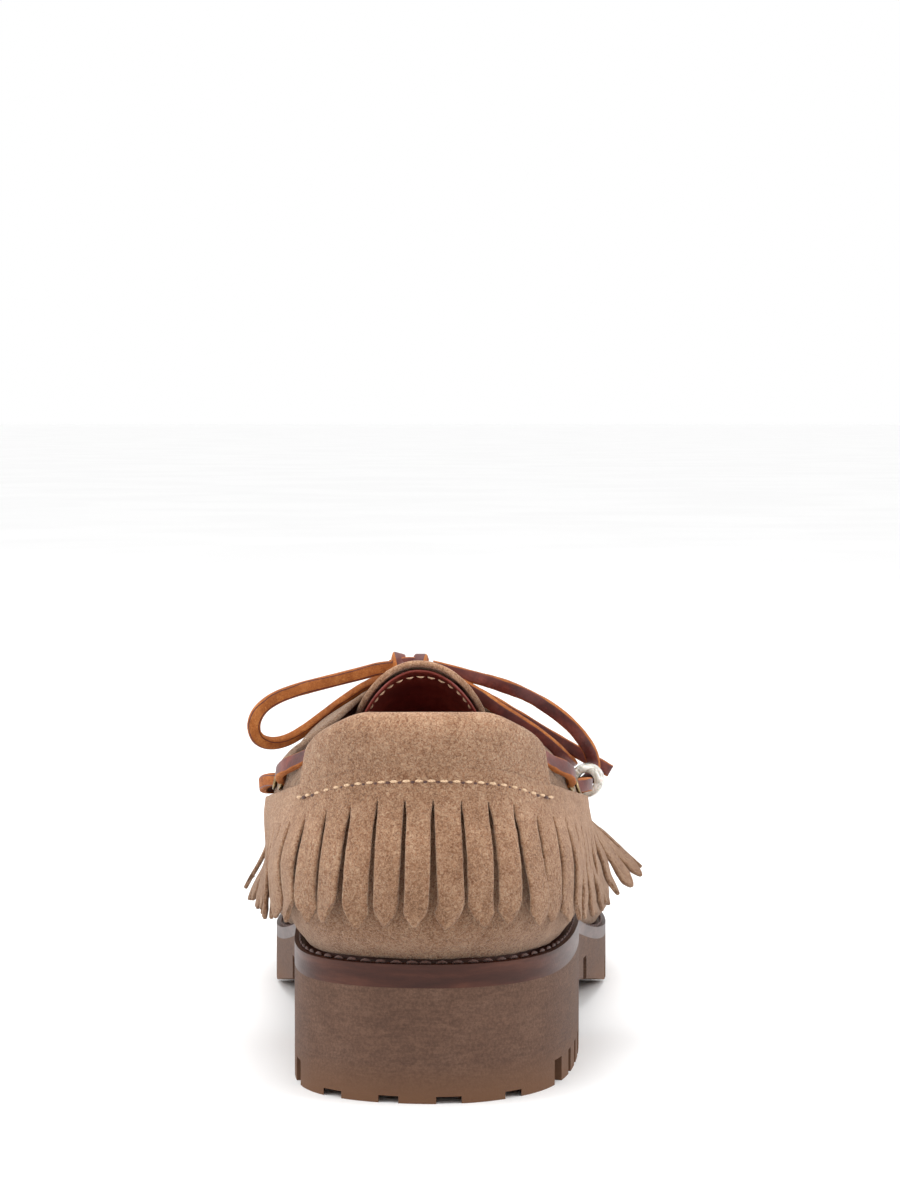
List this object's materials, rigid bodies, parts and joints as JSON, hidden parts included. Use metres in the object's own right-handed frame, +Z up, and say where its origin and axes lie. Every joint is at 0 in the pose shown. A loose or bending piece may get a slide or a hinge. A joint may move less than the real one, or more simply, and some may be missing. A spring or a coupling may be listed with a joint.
{
  "type": "moccasin",
  "caption": "Right-foot camp moccasin in suede with a fringed heel, a lugged rubber sole, and a tied leather lace that ends in a bead.",
  "frame": {"origin": "on the ground plane of the tread, under the middle of the heel", "axes": "+Y from heel to toe, +X to the outer side of the right foot, +Z up"},
  "size_m": [0.1234, 0.3021, 0.1137],
  "materials": {
    "suede": "napped suede",
    "suede_light": "napped suede, worn pale at the edge",
    "lining_leather": "glazed",
    "lace_leather": "oiled, raw edges",
    "board": "matt fibre board",
    "dark_band": "dyed and waxed edge",
    "rubber": "matt with a dusty bloom",
    "foam": "soft padding",
    "brass": "aged",
    "thread": "waxed thread",
    "thread_dark": "waxed thread",
    "bead_shell": "pearl lustre"
  },
  "bodies": {
    "shoe": {"midsole_band": "dark_band", "insole_board": "board", "sock_liner": "lining_leather", "outsole": "rubber", "heel_lining": "lining_leather", "heel_counter": "board", "heel_body": "suede", "vamp": "suede", "heel_collar": "suede_light", "collar_foam": "foam", "fringe": "suede", "quarter_outer_side": "suede", "quarter_inner_side": "suede", "side_eyelets_outer": "brass", "side_eyelets_inner": "brass", "lace_eyelets_outer": "brass", "lace_eyelets_inner": "brass", "apron": "suede", "collar_stitching": "thread", "apron_stitching": "thread_dark", "heel_lace": "lace_leather", "side_lace_outer": "lace_leather", "side_lace_inner": "lace_leather", "lace_bar": "lace_leather", "lace_lead_inner": "lace_leather", "lace_lead_outer": "lace_leather", "left_loop": "lace_leather", "right_loop": "lace_leather", "beaded_lace_end": "lace_leather", "plain_lace_end": "lace_leather", "bow_knot": "lace_leather"},
    "tongue": {"tongue": "suede", "tongue_lining": "lining_leather"},
    "bead": {"bead": "bead_shell"}
  },
  "joints": [
    {"name": "tongue_hinge", "type": "hinge", "parent": "shoe", "child": "tongue", "pos_m": [-0.0023, 0.119, 0.0825], "axis": [1, 0, 0], "range_deg": [0, 8]},
    {"name": "bead_slide", "type": "slide", "parent": "shoe", "child": "bead", "axis": [0.2493, 0.9682, 0.0192], "range_m": [0, 0.002]}
  ]
}
